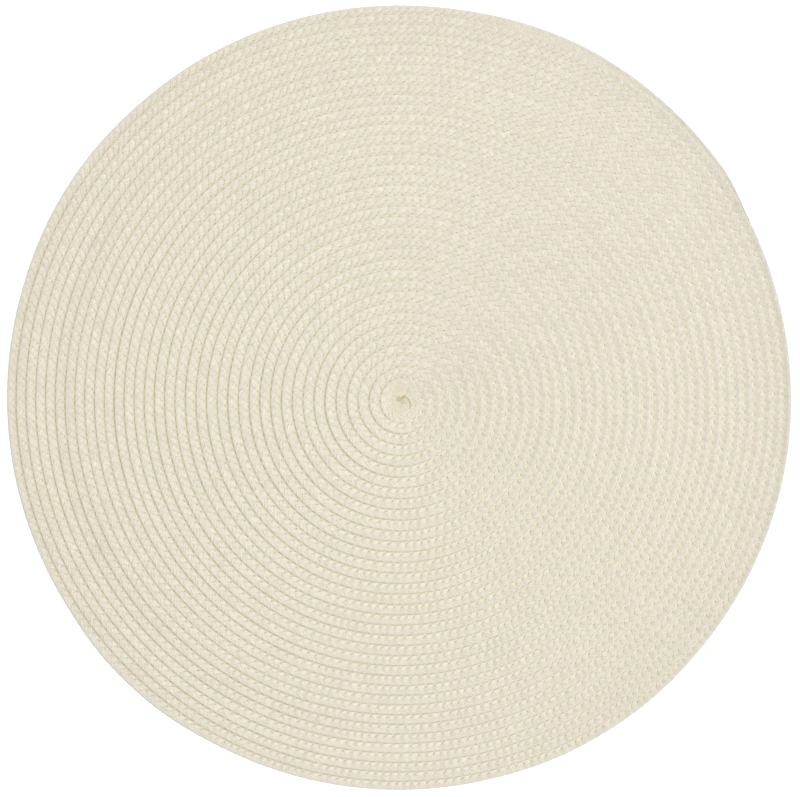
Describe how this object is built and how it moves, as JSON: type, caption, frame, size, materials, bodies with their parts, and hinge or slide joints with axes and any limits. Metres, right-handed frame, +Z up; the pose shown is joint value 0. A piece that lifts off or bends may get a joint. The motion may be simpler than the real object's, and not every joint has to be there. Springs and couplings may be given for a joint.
{
  "type": "round braided placemat",
  "caption": "Round flat placemat of one long flat braid wound in a spiral from the centre, its turns sewn edge to edge.",
  "frame": {"origin": "middle of the underside, on the surface that the mat lies on", "axes": "+Z up out of the mat's face, +Y towards the top of the mat as pictured, +X to its right"},
  "size_m": [0.3801, 0.3803, 0.004],
  "materials": {
    "yarn": "matte plaited yarn, cream"
  },
  "bodies": {
    "root": {"braided_mat": "yarn"}
  },
  "joints": []
}
